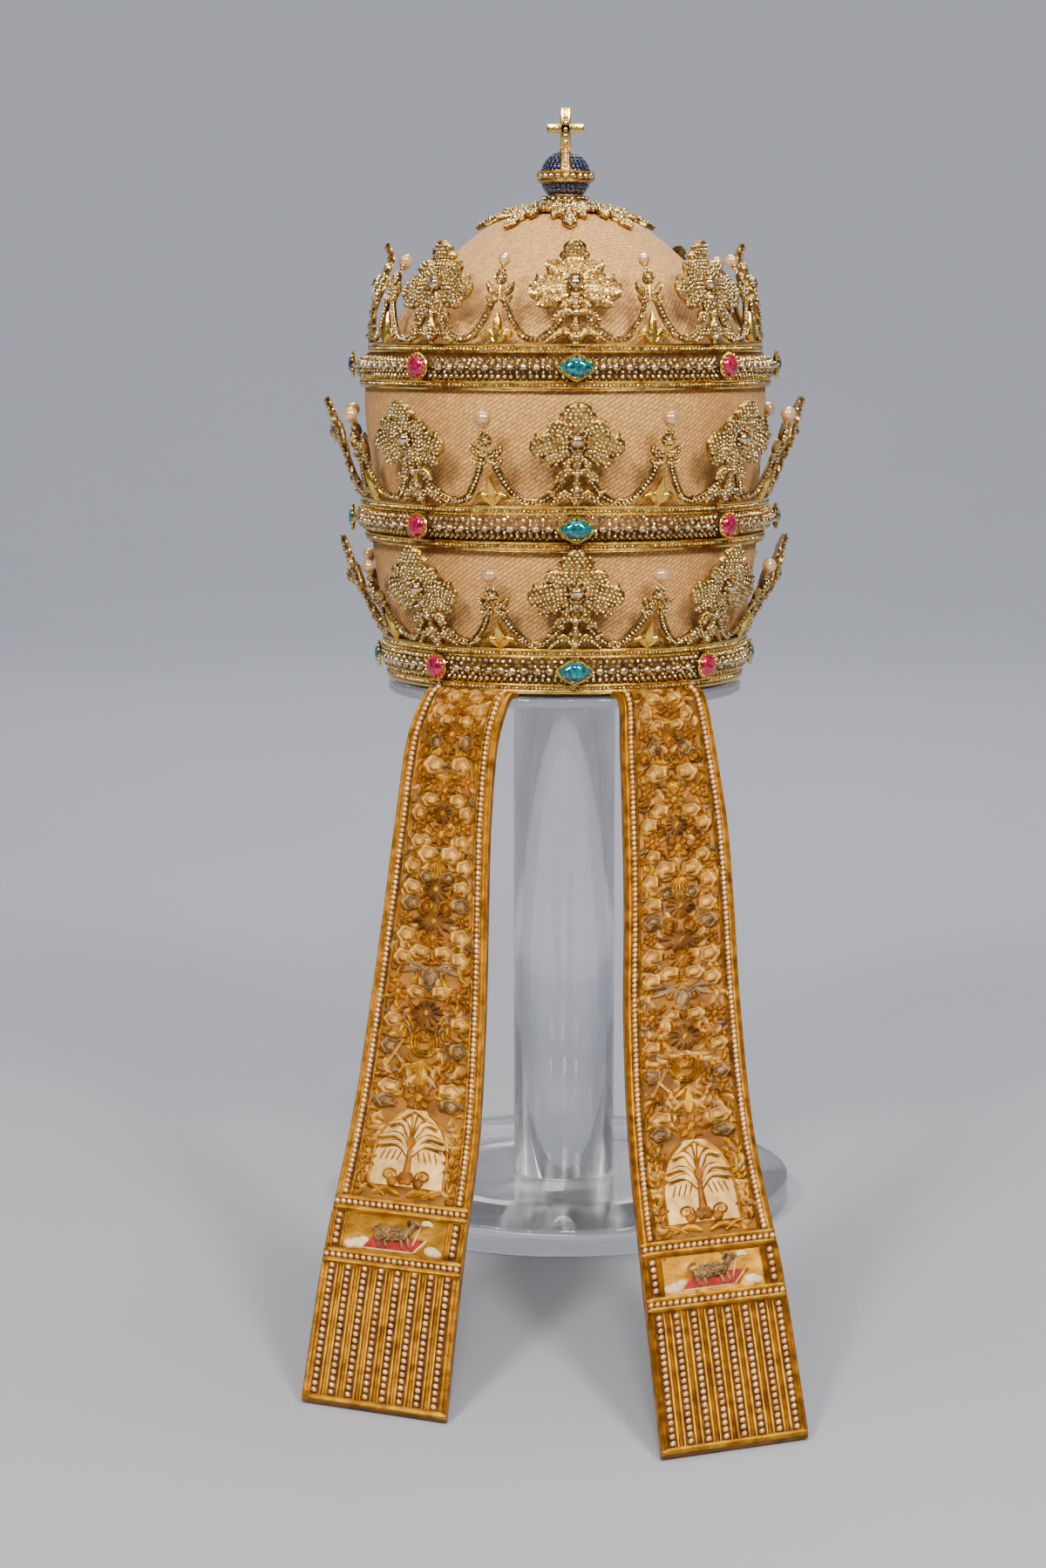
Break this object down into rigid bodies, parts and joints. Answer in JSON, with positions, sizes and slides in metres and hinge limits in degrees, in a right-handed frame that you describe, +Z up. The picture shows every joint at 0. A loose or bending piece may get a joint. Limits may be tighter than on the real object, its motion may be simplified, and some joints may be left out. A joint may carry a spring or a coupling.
{
  "type": "papal tiara on a display stand",
  "caption": "Domed cloth cap with three jewelled leaf crowns, an orb and cross on top and two embroidered lappets, held on a clear stand.",
  "frame": {"origin": "centre of the stand's underside, on the table", "axes": "+Z up along the tiara's axis, the front with its lappets faces -Y, +X to the viewer's right"},
  "size_m": [0.2638, 0.5709, 0.611],
  "materials": {
    "cloth": "fine diagonal weave, pinkish beige",
    "lining": "matt dark brown",
    "gold": "polished pale gold set with diamonds and pearls",
    "emerald": "cut green stone",
    "ruby": "cut red stone",
    "sapphire": "cut dark blue stone",
    "embroidery": "gold thread and beads on cream satin",
    "acrylic": "clear polished acrylic"
  },
  "bodies": {
    "root": {"cap": "cloth", "headband_lining": "lining", "crown_lower": "gold", "crown_middle": "gold", "crown_upper": "gold", "apex_ornament": "gold", "orb": "sapphire", "orb_girdle_cross": "gold", "lappet_left": "embroidery", "lappet_right": "embroidery", "stand_base": "acrylic", "stand_column": "acrylic", "stand_top": "acrylic", "lower_emerald_1": "emerald", "lower_emerald_2": "emerald", "lower_emerald_3": "emerald", "lower_emerald_4": "emerald", "lower_ruby_1": "ruby", "lower_ruby_2": "ruby", "lower_ruby_3": "ruby", "lower_ruby_4": "ruby", "middle_emerald_1": "emerald", "middle_emerald_2": "emerald", "middle_emerald_3": "emerald", "middle_emerald_4": "emerald", "middle_ruby_1": "ruby", "middle_ruby_2": "ruby", "middle_ruby_3": "ruby", "middle_ruby_4": "ruby", "upper_emerald_1": "emerald", "upper_emerald_2": "emerald", "upper_ruby_1": "ruby", "upper_ruby_2": "ruby", "upper_ruby_3": "ruby", "upper_ruby_4": "ruby", "upper_sapphire_1": "sapphire", "upper_sapphire_2": "sapphire"}
  },
  "joints": []
}
